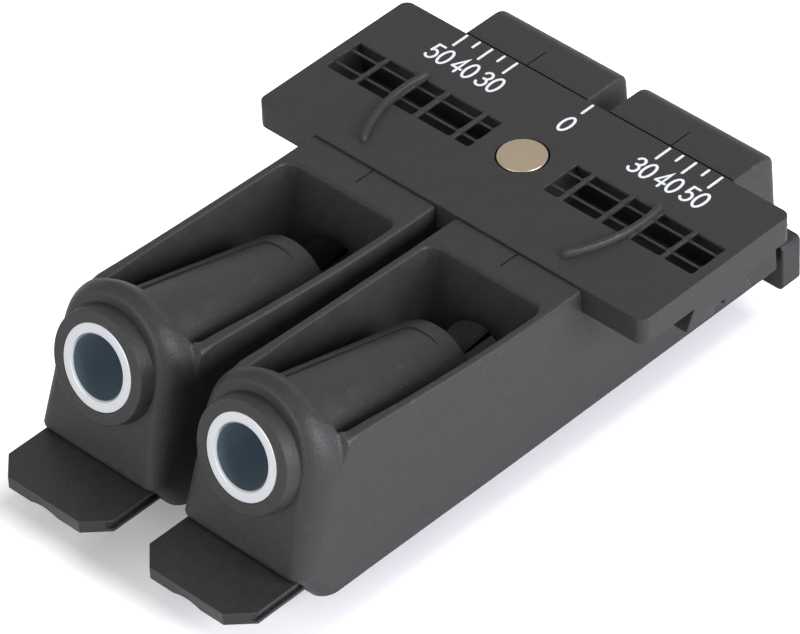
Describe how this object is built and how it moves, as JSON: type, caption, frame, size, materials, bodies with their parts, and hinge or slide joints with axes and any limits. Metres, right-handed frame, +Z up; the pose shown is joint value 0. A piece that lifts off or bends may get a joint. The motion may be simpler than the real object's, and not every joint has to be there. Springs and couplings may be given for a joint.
{
  "type": "pocket hole jig",
  "caption": "Twin pocket hole drilling jig: two steel-bushed guide bodies that slide on a connecting plate, each with a chip pocket and a sliding edge stop.",
  "frame": {"origin": "middle of the overall box in X and Y, at the bottom of the edge stops' lips", "axes": "+X across the two guides, +Y from the drill entry to the edge stops, +Z up"},
  "size_m": [0.0756, 0.115, 0.0365],
  "materials": {
    "charcoal_plastic": "fine satin texture",
    "hardened_steel": "ground and lapped",
    "nickel": "nickel plated",
    "spring_steel": "bright"
  },
  "bodies": {
    "plate": {"connecting_plate": "charcoal_plastic", "clamp_magnet": "nickel"},
    "left_jig": {"left_jig_body": "charcoal_plastic", "left_drill_bush": "hardened_steel", "left_stop_ball": "spring_steel", "left_stop_spring": "spring_steel", "left_rail_plunger": "spring_steel", "left_plunger_spring": "spring_steel"},
    "right_jig": {"right_jig_body": "charcoal_plastic", "right_drill_bush": "hardened_steel", "right_stop_ball": "spring_steel", "right_stop_spring": "spring_steel", "right_rail_plunger": "spring_steel", "right_plunger_spring": "spring_steel"},
    "left_stop": {"left_stop_slide": "charcoal_plastic"},
    "right_stop": {"right_stop_slide": "charcoal_plastic"}
  },
  "joints": [
    {"name": "left_jig_slide", "type": "slide", "parent": "plate", "child": "left_jig", "axis": [-1, 0, 0], "range_m": [0, 0.01085]},
    {"name": "left_stop_travel", "type": "slide", "parent": "left_jig", "child": "left_stop", "axis": [0, 1, 0], "range_m": [0, 0.038]},
    {"name": "right_jig_slide", "type": "slide", "parent": "plate", "child": "right_jig", "axis": [1, 0, 0], "range_m": [0, 0.01085]},
    {"name": "right_stop_travel", "type": "slide", "parent": "right_jig", "child": "right_stop", "axis": [0, 1, 0], "range_m": [0, 0.038]}
  ]
}
